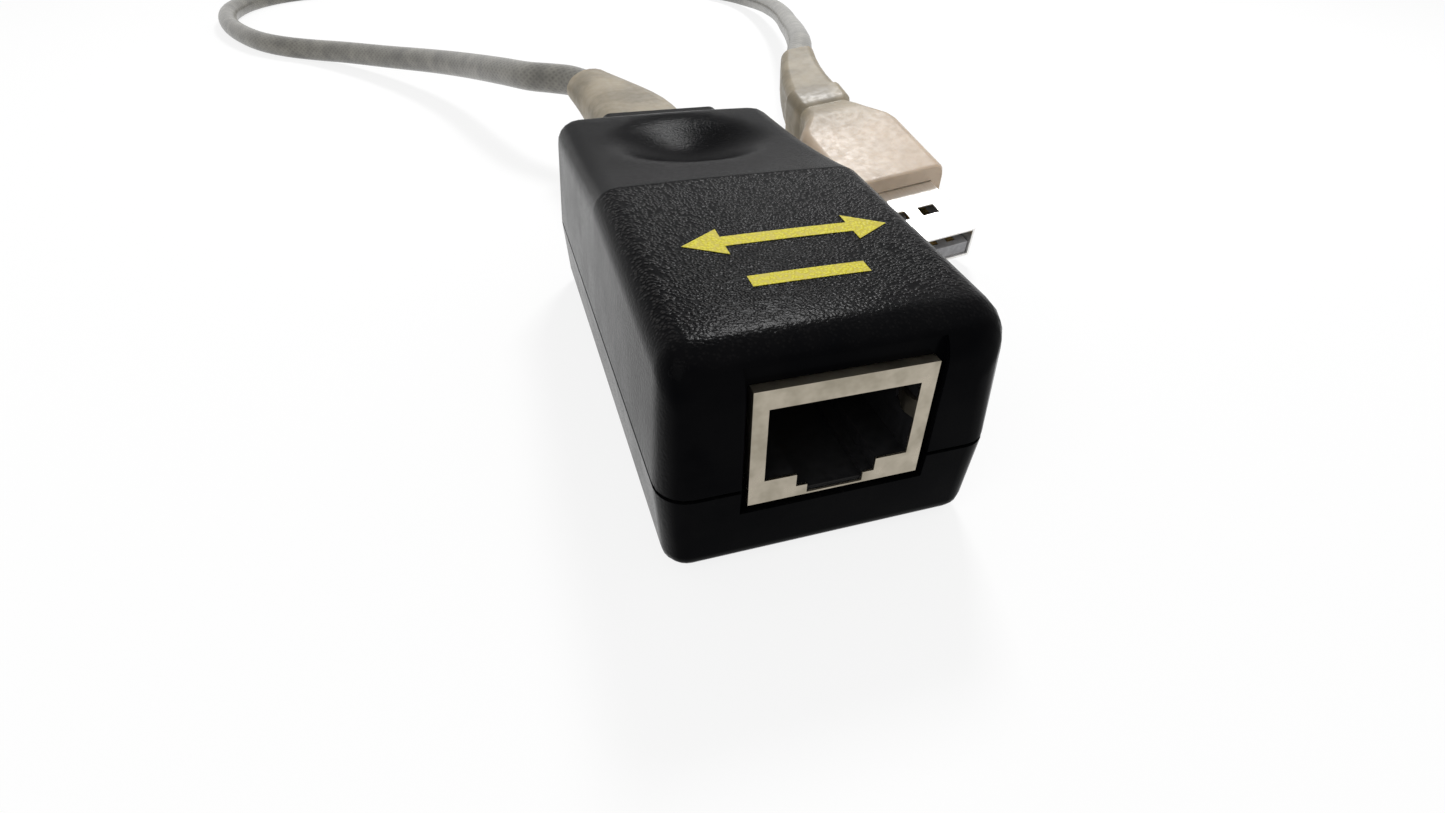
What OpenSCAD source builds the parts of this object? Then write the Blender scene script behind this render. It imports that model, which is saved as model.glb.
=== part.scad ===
// Signal extender adapter: a two-shell plastic housing with a shielded network socket
// in front, a small circuit board inside, and a short lead with a bus plug behind.
// The housing stands on the floor, centred on the origin. The socket faces -Y.

/* [Housing] */
// Width of the housing at the parting line
body_w = 28; // [27:0.5:31]
// Length of the housing from its front face to its rear face
body_l = 55; // [53:0.5:60]
// Height of the parting line between the two shells
parting_h = 8.6; // [8.2:0.1:9.2]
// Height of the roof at the front edge
front_top_h = 20.6; // [20.2:0.1:21.4]
// Height of the roof at its crest
crest_h = 22.2; // [22:0.1:23.5]
// Height of the roof at the rear edge
rear_top_h = 20.6; // [20:0.1:21]
// Distance from the front face to the crest
crest_y = 27; // [25:0.5:29]
// Thickness of the shell walls
wall = 1.8; // [1.6:0.1:2]
// How far each side leans in between the parting line and the roof
side_draft = 0.6; // [0.3:0.1:0.8]
// Radius of the upright corners
corner_r = 2.6; // [2.2:0.1:3]
// Radius of the edges round the roof
roof_r = 2.5; // [2.2:0.1:3.2]
// How much higher the roof is along its middle than at its sides
crown = 0.2; // [0.1:0.1:0.6]
// Radius of the thumb dimple in the low part of the roof
dimple_r = 9.2; // [8:0.2:10]
// Depth of the thumb dimple
dimple_depth = 1.5; // [1:0.1:1.8]
// Visible gap between the two shells
seam_gap = 0.36; // [0.3:0.02:0.44]
// Height of the shallow pad under the housing
pad_h = 0.45; // [0.3:0.05:0.6]
// Distance of the pad's edge from the housing's edge
pad_inset = 3.2; // [2.8:0.1:3.6]
// Radius of the edge under the lower shell
foot_r = 1.6; // [1.2:0.1:2]

/* [Socket] */
// Width of the socket's main opening
opening_w = 11.9; // [11.8:0.05:12]
// Height of the socket's main opening
opening_h = 6.8; // [6.7:0.05:6.9]
// Width of the wide step of the latch slot
latch_w = 6.6; // [6.4:0.1:6.8]
// Height of the wide step of the latch slot
latch_h = 1.2; // [1.1:0.05:1.3]
// Width of the narrow step of the latch slot
tab_w = 4.7; // [4.4:0.1:4.9]
// Height of the narrow step of the latch slot
tab_h = 0.85; // [0.75:0.05:0.9]
// Metal shown on each side of the opening
frame_side = 1.25; // [1.15:0.05:1.45]
// Metal shown above the opening
frame_top = 1.7; // [1.6:0.05:1.9]
// Length of the metal shield
shield_l = 15.2; // [14.6:0.1:16]
// Thickness of the shield's sheet
sheet_t = 0.25; // [0.2:0.05:0.3]
// Depth of the plug cavity
cavity_l = 11.8; // [11.4:0.1:12]

/* [Board] */
// Room between the board's side and the shell wall
board_side = 2.3; // [2.1:0.1:2.6]
// Room behind the board
board_rear = 11.1; // [10.6:0.1:12]
// Thickness of the circuit board
board_t = 1.2; // [1:0.1:1.6]
// Height of the board's upper face
board_h = 6.75; // [6.6:0.05:6.9]

/* [Lead] */
// Diameter of the cable
cable_d = 4.8; // [4.4:0.1:5]
// Width of the boot where it leaves the housing
boot_w = 15.4; // [15:0.1:16]
// Height of the boot where it leaves the housing
boot_h = 10.2; // [9.8:0.1:10.6]
// Diameter of the boot at its tip
boot_tip_d = 8.4; // [7.6:0.1:9]
// Width of the collar round the boot
collar_w = 15; // [14.6:0.1:15.4]
// How far the collar stands out of the rear face
collar_out = 1.6; // [1.4:0.1:1.8]

/* [Plug] */
// Width of the plug's metal shell
plug_w = 12; // [11.9:0.05:12.1]
// Thickness of the plug's metal shell
plug_t = 4.5; // [4.4:0.05:4.6]
// Length of the metal shell in front of the grip
plug_l = 12; // [11.7:0.1:12.2]
// Thickness of the plug shell's sheet
plug_sheet_t = 0.3; // [0.25:0.05:0.35]
// Width of the grip
grip_w = 16; // [15.6:0.1:16.6]
// Thickness of the grip
grip_t = 9.4; // [9:0.1:9.8]
// Length of the grip's straight part
grip_l = 16; // [15:0.5:17]
// Length of the shoulder between the grip and the ring
shoulder_l = 8; // [7:0.5:10]
// Length of the strain relief
relief_l = 15; // [13:0.5:17]
// How far the strain relief bends to the right
relief_bend = 4; // [2:0.5:5]

/* [Hidden] */

// Colours as the photograph shows them
black_plastic = [0.09, 0.09, 0.10];
nickel = [0.72, 0.68, 0.60];
bright_steel = [0.86, 0.85, 0.83];
gold = [0.86, 0.68, 0.28];
board_green = [0.08, 0.36, 0.20];
clear_grey = [0.55, 0.54, 0.50];
beige = [0.80, 0.76, 0.66];

// One overrun serves every cut, and one hair of clearance every loose fit
cut = 0.5;
fit = 0.1;
slip = 0.15;

// The housing's front and rear faces, from the middle of its whole length
front_y = -(body_l + collar_out) / 2;
rear_y = front_y + body_l;
collar_y = front_y + body_l + collar_out;

// Places measured from the front face
dimple_from_rear = 12.2;
dimple_y = body_l - dimple_from_rear;
ramp_power = 2.6;
front_roof_r = 3.6;
rear_roof_r = 2;

// The seam: the edges of the two shells, and the lip that closes it from inside
upper_edge_h = parting_h + seam_gap / 2;
lower_edge_h = parting_h - seam_gap / 2;
lip_t = 0.7;
lip_h = 1.5;
foot_draft = 0.4;
inner_corner_r = 0.8;

// The socket in the front wall
jack_back = 0.15;
recess_depth = 1;
recess_side = 0.6;
recess_top = 1.7;
recess_foot = 0.75;
shield_stand = 0.1;
shield_w = opening_w + 2 * frame_side;
shield_z = board_h + shield_stand;
jack_y = front_y + jack_back;
slot_foot = 0.15;
tab_z = shield_z + slot_foot;
latch_z = tab_z + tab_h;
opening_z = latch_z + latch_h;
opening_top = opening_z + opening_h;
shield_top = opening_top + frame_top;

// The board and what stands on it, with places from the middle of the board
board_gap = 0.3;
board_w = body_w - 2 * (wall + board_side);
board_l = body_l - 2 * wall - board_gap - board_rear;
board_front = front_y + wall + board_gap;
board_mid = board_front + board_l / 2;
board_foot = board_h - board_t;
floor_h = pad_h + wall;
pin_pitch = 1.02;
pin_w = 0.4;
pin_hole_r = 0.42;
pin_row_gap = 1.27;
pin_row_front = shield_l - sheet_t - pin_row_gap - pin_w;
insert_gap = 0.15;
wire_d = 1.2;
wire_hole_r = 0.5;
wire_row_share = 0.13;
wire_pitch = wire_row_share * board_w;
wire_edge = 2;
wire_row = board_front + board_l - wire_edge;

// The stretch of the board that its parts stand on
part_gap = 0.4;
behind_jack = jack_y + shield_l;
before_wires = wire_row - wire_d;

// The boot: neck and flange in the housing, a smooth bend behind it
neck_w = 12.4;
neck_h = 8;
flange_w = 15;
flange_h = 10.4;
flange_l = 2;
boot_fit = 0.1;
boot_corner = 3.2;
boot_z = parting_h;
collar_foot = 2.6;
collar_drop = 0.6;
collar_r = 1.2;

// The plug lies on the left edges of its shell's tip and of its grip, rolled by the cable
plug_place = [34.3, 14.1];
plug_yaw = 3;
plug_roll = 7;
grip_r = 1.6;
grip_lead = 0.5;
grip_reach = (grip_w / 2 - grip_r) * sin(plug_roll) + (grip_t / 2 - grip_r) * cos(plug_roll) + grip_r;
plug_reach = plug_w / 2 * sin(plug_roll) + plug_t / 2 * cos(plug_roll);
plug_tilt = atan((grip_reach - plug_reach) / (plug_l + grip_lead));
plug_z = plug_reach * cos(plug_tilt);
ring_l = 5;
ring_w = 9.8;
ring_t = 8.4;
ring_groove = 0.5;
relief_front_w = 9;
relief_front_t = 7.8;
relief_end_w = 6.4;
grip_y = plug_l;
shoulder_y = grip_y + grip_l;
ring_y = shoulder_y + shoulder_l;
relief_y = ring_y + ring_l;
plug_total = relief_y + relief_l;
contact_w = 1;
contact_t = 0.3;
contact_inner_x = 1;
contact_outer_x = 3.5;
// Turns a direction, or a point from the mouth, out of the plug's own frame
function from_plug(v) =
    let (x = v[0] * cos(plug_roll) - v[2] * sin(plug_roll),
         up = v[0] * sin(plug_roll) + v[2] * cos(plug_roll),
         y = v[1] * cos(plug_tilt) - up * sin(plug_tilt),
         z = v[1] * sin(plug_tilt) + up * cos(plug_tilt))
    [x * cos(plug_yaw) - y * sin(plug_yaw), x * sin(plug_yaw) + y * cos(plug_yaw), z];
// The strain relief bends from the ring on
function relief_shift(y) =
    y < ring_y ? 0 : relief_bend * pow((y - ring_y) / (plug_total - ring_y), 2);
plug_dir = from_plug([sin(atan(2 * relief_bend / (plug_total - ring_y))),
                      cos(atan(2 * relief_bend / (plug_total - ring_y))), 0]);
plug_end = [plug_place[0], plug_place[1], plug_z]
    + from_plug([relief_bend, plug_total, 0]);

// The cable's route from the boot's tip to the plug, in round numbers chosen by hand
route = [[-3.2, 66, 14.2], [-5.6, 70.3, 14.2], [-8.6, 74.2, 13.8], [-12.2, 79.6, 13],
         [-16.6, 90.5, 11.4],
         [-22.8, 107, 8.8], [-30, 121.5, 6.8], [-40, 137, 4.8], [-50.5, 150.5, 3.4],
         [-58.5, 158.8, 2.6], [-66, 165, 2.4], [-72.5, 172, 2.4], [-78.5, 182, 2.4],
         [-84, 195, 2.4], [-87.5, 209, 2.4], [-88, 222, 2.4], [-85, 236, 2.4],
         [-77, 248, 2.4], [-62, 256, 2.4], [-40, 261, 2.4], [-15, 262, 2.4], [15, 259, 2.4],
         [41, 251, 2.4], [59, 239, 2.4], [69.5, 222, 2.8], [72.2, 203, 3.8],
         [70.4, 183, 5.6], [66.3, 161, 7.5], [61, 141, 9.2], [55, 122, 10.8],
         [49.8, 106, 12.4], [45.2, 93, 13.8], [41.2, 82, 14.6]];

// Length lost at a rounded end: t is the distance from the end, r the radius
function inset(t, r) = t >= r ? 0 : r - sqrt(r * r - (r - t) * (r - t));
// Inset of the outline near the front face and near the rear face
function end_inset(y, rf, rr) = inset(y, rf) + inset(body_l - y, rr);

// Height of the roof along the middle, before its ends are rounded
function roof_line(y) =
    y < crest_y ? front_top_h + (crest_h - front_top_h) * y / crest_y
    : rear_top_h + (crest_h - rear_top_h)
        * pow(1 - (y - crest_y) / (body_l - crest_y), ramp_power);
// Depth of the thumb dimple at a point of the roof
function dimple_share(x, y) =
    max(0, 1 - (x * x + (y - dimple_y) * (y - dimple_y)) / (dimple_r * dimple_r));
function roof_h(x, y, hw) =
    roof_line(y) - crown * (x / hw) * (x / hw) - dimple_depth * pow(dimple_share(x, y), 1.2);

// Outline of the upper shell across the housing at y, drawn in by o all round
roof_steps = 20;
edge_steps = 5;
function shell_section(y, o, foot) =
    let (hw = body_w / 2 - end_inset(y, corner_r, corner_r) - o,
         drop = end_inset(y, front_roof_r, rear_roof_r) + o,
         r = roof_r - o / 2,
         tw = hw - side_draft,
         fw = tw - r)
    concat([[-hw, foot]],
           [for (i = [0 : edge_steps])
               let (a = 90 * i / edge_steps)
               [-fw - r * cos(a), roof_h(-fw, y, hw) - drop - r + r * sin(a)]],
           [for (i = [1 : roof_steps - 1])
               let (x = -fw + 2 * fw * i / roof_steps)
               [x, roof_h(x, y, hw) - drop]],
           [for (i = [edge_steps : -1 : 0])
               let (a = 90 * i / edge_steps)
               [fw + r * cos(a), roof_h(fw, y, hw) - drop - r + r * sin(a)]],
           [[hw, foot]]);

// Shares of a rounded end at which its sections lie
end_shares = [0, 0.04, 0.14, 0.3, 0.5, 0.75, 1];
front_stations = [for (s = end_shares) s * front_roof_r];
rear_stations = [for (i = [len(end_shares) - 1 : -1 : 0]) body_l - end_shares[i] * corner_r];
flat_count = 6;
ramp_count = 16;
sharp_step = 0.4;
middle_stations = concat(
    [for (i = [1 : flat_count - 1])
        front_roof_r + (crest_y - sharp_step - front_roof_r) * i / flat_count],
    [crest_y - sharp_step, crest_y, crest_y + sharp_step],
    [for (i = [1 : ramp_count - 1])
        crest_y + sharp_step + (body_l - corner_r - crest_y - sharp_step) * i / ramp_count]);
shell_stations = concat(front_stations, middle_stations, rear_stations);

// A solid through closed rings of points that all have the same number of points
module skin(rings) {
    n = len(rings[0]);
    m = len(rings);
    points = [for (ring = rings) for (p = ring) p];
    sides = [for (j = [0 : m - 2]) for (i = [0 : n - 1])
                for (t = [0, 1])
                    let (a = j * n + i, b = j * n + (i + 1) % n)
                    t == 0 ? [a, b + n, b] : [a, a + n, b + n]];
    polyhedron(points, concat(sides, [[for (i = [0 : n - 1]) i]],
                              [[for (i = [n - 1 : -1 : 0]) (m - 1) * n + i]]), convexity = 6);
}

module block(size, low) {
    translate(low) cube(size);
}

// A box centred on x, from one y to another and from one height to another
module bar(w, y0, y1, z0, z1, x = 0) {
    block([w, y1 - y0, z1 - z0], [x - w / 2, y0, z0]);
}

// A box with round edges along Y
module round_bar(w, y0, y1, z0, z1, r) {
    translate([0, y1, (z0 + z1) / 2]) rotate([90, 0, 0]) linear_extrude(y1 - y0)
        hull()
            for (sx = [-1, 1], sz = [-1, 1])
                translate([sx * (w / 2 - r), sz * ((z1 - z0) / 2 - r)]) circle(r, $fn = 32);
}

// The housing's outline in plan, drawn in by o, as a ring at height z
plan_steps = 6;
function plan_ring(o, z) =
    [for (c = [0 : 3]) for (i = [0 : plan_steps])
        let (a = c * 90 + 90 * i / plan_steps,
             r = max(corner_r - o, inner_corner_r),
             sx = (c == 0 || c == 3) ? 1 : -1,
             sy = c < 2 ? 1 : -1)
        [sx * (body_w / 2 - o - r) + r * cos(a),
         front_y + body_l / 2 + sy * (body_l / 2 - o - r) + r * sin(a), z]];

module collar(z0, z1) {
    round_bar(collar_w, rear_y - collar_out, collar_y, z0, z1, collar_r);
}

// The boot's neck and flange, grown by g for the space that the shells leave it
module boot_root(g) {
    round_bar(neck_w + 2 * g, rear_y - wall - flange_l, collar_y + g,
              boot_z - neck_h / 2 - g, boot_z + neck_h / 2 + g, boot_corner);
    round_bar(flange_w + 2 * g, rear_y - wall - flange_l - g, rear_y - wall - boot_fit + g,
              boot_z - flange_h / 2 - g, boot_z + flange_h / 2 + g, boot_corner);
}

// The lip inside the seam, grown by g; it stops on both sides of the socket
module seam_lip(g, z0, z1) {
    difference() {
        skin([plan_ring(wall - lip_t - g, z0), plan_ring(wall - lip_t - g, z1)]);
        bar(recess_w + 2 * (lip_t - g), front_y - cut, front_y + corner_r + wall, z0 - cut,
            z1 + cut);
    }
}

// Window in the front wall: a shallow recess, and a hole that the shield fits
recess_w = shield_w + 2 * recess_side;
module socket_window() {
    bar(recess_w, front_y - cut, front_y + recess_depth, shield_z - recess_foot,
        shield_top + recess_top);
    bar(shield_w + 2 * slip, front_y, front_y + wall + cut, shield_z - slip, shield_top + slip);
}

// Snap hooks on the upper shell, and the catches on the lower one
hook_w = 4;
hook_t = 0.9;
hook_drop = 3.4;
hook_nose = 0.45;
hook_shares = [0.34, 0.76];
hook_y = [for (s = hook_shares) front_y + body_l * s];
hook_x = body_w / 2 - wall - hook_nose - hook_t - 2 * slip;

module snap_hook(y, side) {
    root_w = body_w / 2 - wall / 2 - side_draft - hook_x;
    mirror([side < 0 ? 1 : 0, 0, 0])
        translate([hook_x, y + hook_w / 2, upper_edge_h])
            rotate([90, 0, 0]) linear_extrude(hook_w)
                polygon([[0, lip_h + wall], [root_w, lip_h + wall], [root_w, lip_h + fit],
                         [hook_t, lip_h + fit], [hook_t, hook_nose - hook_drop],
                         [hook_t + hook_nose, -hook_drop],
                         [hook_t + hook_nose, -hook_drop - hook_nose / 2],
                         [0, -hook_drop - 2 * hook_nose]]);
}

module lower_shell() {
    inner_edge_h = lower_edge_h + lip_h + cut;
    color(black_plastic) {
        difference() {
            union() {
                skin([plan_ring(pad_inset + pad_h, 0), plan_ring(pad_inset, pad_h),
                      plan_ring(pad_inset, floor_h)]);
                skin(concat(
                    [for (i = [0 : 4])
                        let (a = 90 * i / 4)
                        plan_ring(foot_draft + foot_r * (1 - sin(a)),
                                  pad_h + foot_r * (1 - cos(a)))],
                    [plan_ring(0, lower_edge_h)]));
                seam_lip(0, floor_h, lower_edge_h + lip_h);
                collar(collar_foot, lower_edge_h);
            }
            skin([plan_ring(wall + foot_draft, floor_h), plan_ring(wall, lower_edge_h),
                  plan_ring(wall, inner_edge_h)]);
            boot_root(boot_fit);
            socket_window();
        }
        // Four posts carry the board
        for (sx = [-1, 1], y = [board_mid, wire_row - wire_hole_r - post_r - part_gap])
            translate([sx * (board_w / 2 - post_r - board_gap), y, wall])
                cylinder(h = board_foot - wall, r = post_r, $fn = 32);
        // A catch over each hook's nose
        for (y = hook_y, side = [-1, 1])
            mirror([side < 0 ? 1 : 0, 0, 0])
                block([body_w / 2 - wall / 2 - hook_x - hook_t - fit, hook_w, catch_t],
                      [hook_x + hook_t + fit, y - hook_w / 2,
                       upper_edge_h + hook_nose - hook_drop + fit]);
    }
}
catch_t = 0.8;
post_r = 1.5;

module upper_shell() {
    color(black_plastic)
        translate([0, front_y, 0]) {
            difference() {
                union() {
                    skin([for (y = shell_stations)
                        [for (p = shell_section(y, 0, upper_edge_h)) [p[0], y, p[1]]]]);
                    translate([0, -front_y, 0]) collar(upper_edge_h, rear_top_h - collar_drop);
                }
                skin([for (y = inner_stations)
                    [for (p = shell_section(y, wall, upper_edge_h - cut)) [p[0], y, p[1]]]]);
                translate([0, -front_y, 0]) {
                    boot_root(boot_fit);
                    socket_window();
                    seam_lip(fit, upper_edge_h - cut, upper_edge_h + lip_h);
                }
            }
        }
    color(black_plastic)
        for (y = hook_y, side = [-1, 1]) snap_hook(y, side);
}
inner_count = 14;
inner_front = wall + front_roof_r - roof_r;
inner_stations = concat(
    [wall, inner_front],
    [for (i = [1 : inner_count - 1])
        inner_front + (body_l - wall - inner_front) * i / inner_count],
    [body_l - wall]);

module circuit_board() {
    color(board_green)
        difference() {
            bar(board_w, board_front, board_front + board_l, board_foot, board_h);
            for (i = [0 : 7])
                translate([(i - 3.5) * pin_pitch,
                           jack_y + pin_row_front + (i % 2) * pin_row_gap, board_foot - cut])
                    cylinder(h = board_t + 2 * cut, r = pin_hole_r, $fn = 24);
            for (i = [-2 : 2])
                translate([i * wire_pitch, wire_row, board_foot - cut])
                    cylinder(h = board_t + 2 * cut, r = wire_hole_r, $fn = 24);
            for (sx = [-1, 1])
                translate([sx * peg_x, jack_y + peg_y, board_foot - cut])
                    cylinder(h = board_t + 2 * cut, r = peg_r + fit, $fn = 32);
            for (sx = [-1, 1])
                bar(tab_t + 4 * fit, jack_y + leg_y - leg_w / 2 - fit,
                    jack_y + leg_y + leg_w / 2 + fit, board_foot - cut, board_h + cut,
                    sx * (shield_w - sheet_t) / 2);
        }
}
peg_inset = 2.1;
peg_x = shield_w / 2 - peg_inset;
peg_y = 7.2;
peg_r = 1.1;
peg_drop = 2.4;
leg_y = 9.6;
leg_w = 1.6;
leg_drop = 2.6;
tab_t = sheet_t;

// The stepped opening of the socket, grown by g, from one y to another; foot is its floor
module stepped_opening(y0, y1, foot, g = 0) {
    bar(opening_w + 2 * g, y0, y1, opening_z - g, opening_top + g);
    bar(latch_w + 2 * g, y0, y1, latch_z - g, opening_z + cut);
    bar(tab_w + 2 * g, y0, y1, foot, latch_z + cut);
}

module jack_shield() {
    color(nickel) {
        difference() {
            bar(shield_w, jack_y, jack_y + shield_l, shield_z, shield_top);
            bar(shield_w - 2 * sheet_t, jack_y + sheet_t, jack_y + shield_l - sheet_t,
                shield_z - cut, shield_top - sheet_t);
            stepped_opening(jack_y - cut, jack_y + sheet_t + cut, tab_z);
        }
        // The lip under the slot, the board legs, and a spring finger in each side wall
        bar(latch_w, jack_y, jack_y + sheet_t, shield_z, tab_z);
        for (sx = [-1, 1]) {
            bar(sheet_t, jack_y + leg_y - leg_w / 2, jack_y + leg_y + leg_w / 2,
                board_h - leg_drop, shield_z, sx * (shield_w - sheet_t) / 2);
            mirror([sx < 0 ? 1 : 0, 0, 0])
                translate([opening_w / 2, jack_y, finger_z])
                    linear_extrude(finger_w)
                        polygon([[0, 0], [finger_t, 0], [finger_t, finger_l],
                                 [finger_t / 2, finger_l], [-finger_bow, finger_l / 2],
                                 [-finger_bow, finger_l / 3]]);
        }
    }
}
finger_w = 1.6;
finger_l = 3;
finger_t = 0.5;
finger_bow = 0.3;
finger_z = opening_z + opening_h / 2;

module jack_body() {
    body_back = jack_y + shield_l - sheet_t - fit;
    color([0.06, 0.06, 0.07])
        difference() {
            union() {
                bar(shield_w - 2 * sheet_t - 2 * fit, jack_y + sheet_t + fit, body_back,
                    shield_z + fit, shield_top - sheet_t - fit);
                for (sx = [-1, 1])
                    translate([sx * peg_x, jack_y + peg_y, board_h - peg_drop])
                        cylinder(h = peg_drop + shield_stand + 2 * fit, r = peg_r, $fn = 32);
            }
            stepped_opening(jack_y, jack_y + cavity_l, shield_z + fit + body_floor_t, fit);
            // Side pockets for the spring fingers
            for (sx = [-1, 1])
                bar(finger_t + 4 * fit, jack_y, jack_y + finger_l + fit, finger_z - fit,
                    finger_z + finger_w + fit, sx * (opening_w / 2 + finger_t / 2));
            // The rear pocket takes the insert, and a slot in the ceiling the eight wires
            bar(insert_w + 2 * fit, jack_y + cavity_l - fit, body_back + cut,
                shield_z - cut, shield_top - sheet_t - fit - roof_t);
            bar(comb_w, jack_y + wire_front - wire_t - fit, body_back + cut,
                opening_top - cut, opening_top + wire_slot_h);
        }
}
insert_inset = 0.65;
insert_w = opening_w - 2 * insert_inset;
roof_t = 0.7;
body_floor_t = 0.35;
comb_side = 0.6;
comb_w = 7 * pin_pitch + 2 * comb_side;
wire_front = 4.8;
wire_t = 0.3;
wire_slot_h = 0.9;

// The insert stands behind the cavity and holds the wires on its back
module jack_insert() {
    color([0.12, 0.12, 0.13])
        bar(insert_w, jack_y + cavity_l, jack_y + pin_row_front - wire_t / 2 - insert_gap,
            shield_z + fit, opening_top + wire_slot_h / 2 - wire_t / 2);
}

// One flat wire: a run along the ceiling, a spring into the cavity, a tail through the board
module flat_wire(y0, z0, y1, z1, w) {
    d = norm([y1 - y0, z1 - z0]);
    translate([0, y0, z0]) rotate([atan2(z1 - z0, y1 - y0), 0, 0])
        block([w, d, wire_t], [-w / 2, 0, -wire_t / 2]);
}

module jack_contacts() {
    ceiling = opening_top + wire_slot_h / 2;
    color(gold)
        for (i = [0 : 7])
            translate([(i - 3.5) * pin_pitch, jack_y, 0]) {
                tail = pin_row_front + (i % 2) * pin_row_gap;
                flat_wire(wire_front, ceiling, tail, ceiling, pin_w);
                translate([-pin_w / 2, wire_front, ceiling]) rotate([0, 90, 0])
                    cylinder(h = pin_w, r = wire_t / 2, $fn = 16);
                flat_wire(wire_front, ceiling, cavity_l - spring_back,
                          opening_top - spring_dip, pin_w);
                bar(pin_w, tail - wire_t / 2, tail + wire_t / 2, board_foot - pin_out,
                    ceiling + wire_t / 2);
            }
}
spring_back = 1.4;
spring_dip = 2.4;
pin_out = 0.8;

// Leads of a small chip along both long sides
module chip_leads(n, pitch, body, lead_out, lead_h) {
    for (i = [0 : n - 1], sx = [-1, 1])
        translate([sx * body / 2, (i - (n - 1) / 2) * pitch, 0])
            mirror([sx < 0 ? 1 : 0, 0, 0]) {
                block([lead_out / 2, pitch / 3, lead_h / 3], [0, -pitch / 6, lead_h]);
                block([lead_h / 3, pitch / 3, lead_h * 4 / 3], [lead_out / 2, -pitch / 6, 0]);
                block([lead_out / 2, pitch / 3, lead_h / 3], [lead_out / 2, -pitch / 6, 0]);
            }
}

chip_w = 3.9;
chip_l = 9.9;
chip_t = 1.45;
chip_lift = 0.1;
chip_pitch = 1.27;
chip_reach = 1.1;
chip_lead_h = 0.6;
module driver_chip() {
    color([0.14, 0.14, 0.15])
        translate([part_gap + chip_w / 2 + chip_reach - board_w / 2,
                   behind_jack + part_gap + chip_l / 2, board_h]) {
            block([chip_w, chip_l, chip_t], [-chip_w / 2, -chip_l / 2, chip_lift]);
            chip_leads(8, chip_pitch, chip_w, chip_reach, chip_lead_h);
        }
}

reg_w = 3.5;
reg_l = 6.5;
reg_t = 1.6;
reg_pitch = 2.3;
reg_reach = 1.6;
reg_lead_h = 0.5;
module regulator() {
    color([0.14, 0.14, 0.15])
        translate([board_w / 2 - part_gap - reg_w / 2 - reg_reach,
                   behind_jack + part_gap + reg_l / 2, board_h]) {
            block([reg_w, reg_l, reg_t], [-reg_w / 2, -reg_l / 2, 0]);
            for (i = [-1 : 1])
                block([reg_reach, reg_pitch / 3, reg_lead_h],
                      [-reg_w / 2 - reg_reach, i * reg_pitch - reg_pitch / 6, 0]);
            block([reg_reach, reg_pitch * 4 / 3, reg_lead_h],
                  [reg_w / 2, -reg_pitch * 2 / 3, 0]);
        }
}

choke_w = 4.4;
choke_l = 3.4;
choke_t = 2.6;
choke_core_r = 1.1;
choke_end_t = 0.7;
module line_choke() {
    color([0.25, 0.24, 0.24])
        translate([part_gap + choke_w / 2 - board_w / 2,
                   before_wires - part_gap - choke_l / 2, board_h]) {
            for (z = [0, choke_t - choke_end_t])
                block([choke_w, choke_l, choke_end_t], [-choke_w / 2, -choke_l / 2, z]);
            cylinder(h = choke_t, r = choke_core_r, $fn = 32);
        }
}

can_r = 2.5;
can_h = 6.6;
can_base_t = 0.9;
can_groove_h = 1.4;
can_groove_r = 2.3;
module bulk_capacitor() {
    color([0.30, 0.32, 0.38])
        translate([board_w / 2 - part_gap - can_r, before_wires - part_gap - can_r, board_h]) {
            block([2 * can_r, 2 * can_r, can_base_t], [-can_r, -can_r, 0]);
            translate([0, 0, can_base_t])
                cylinder(h = can_groove_h, r = can_groove_r, $fn = 48);
            translate([0, 0, can_base_t + can_groove_h])
                cylinder(h = can_h - can_base_t - can_groove_h, r = can_r, $fn = 48);
        }
}

// Small parts, each on two soldered ends: shares of the board's width, and of its length
// behind the socket
chip_part_l = 2;
chip_part_w = 1.25;
capacitor_t = 1.1;
resistor_t = 0.55;
capacitor_shares = [[-0.02, 0.63], [-0.02, 0.77], [0.083, 0.63], [0.083, 0.77]];
resistor_shares = [[-0.02, 0.07], [-0.02, 0.21], [-0.02, 0.35], [-0.02, 0.49], [0.42, 0.93]];

module chip_part(share, t) {
    free_l = board_front + board_l - behind_jack;
    translate([share[0] * board_w, behind_jack + share[1] * free_l, board_h])
        block([chip_part_w, chip_part_l, t], [-chip_part_w / 2, -chip_part_l / 2, 0]);
}

module ceramic_capacitors() {
    color([0.72, 0.60, 0.46]) for (s = capacitor_shares) chip_part(s, capacitor_t);
}

module chip_resistors() {
    color([0.16, 0.16, 0.17]) for (s = resistor_shares) chip_part(s, resistor_t);
}

// Rings of a round tube along points; ref turns the rings, d0 and d1 square its ends
function unit(v) = v / norm(v);
function tube_dir(pts, i, d0, d1) =
    i == 0 ? d0
    : i == len(pts) - 1 ? d1
    : unit(pts[i + 1] - pts[i - 1]);
function ring_at(p, d, ref, rx, rz, n) =
    let (up = unit(ref - d * (ref * d)), side = cross(d, up))
    [for (k = [0 : n - 1])
        p + side * rx * cos(360 * k / n) - up * rz * sin(360 * k / n)];
function tube_rings(pts, r, n, ref, d0, d1) =
    [for (i = [0 : len(pts) - 1]) ring_at(pts[i], tube_dir(pts, i, d0, d1), ref, r, r, n)];
// A point between p1 and p2 on the smooth curve through four points
function between(p0, p1, p2, p3, t) =
    (2 * p1 + (p2 - p0) * t + (2 * p0 - 5 * p1 + 4 * p2 - p3) * t * t
     + (3 * p1 - p0 - 3 * p2 + p3) * t * t * t) / 2;
function smooth_route(pts, steps) =
    concat([for (i = [0 : len(pts) - 2]) for (k = [0 : steps - 1])
               between(pts[max(0, i - 1)], pts[i], pts[i + 1],
                       pts[min(len(pts) - 1, i + 2)], k / steps)],
           [pts[len(pts) - 1]]);

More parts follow.
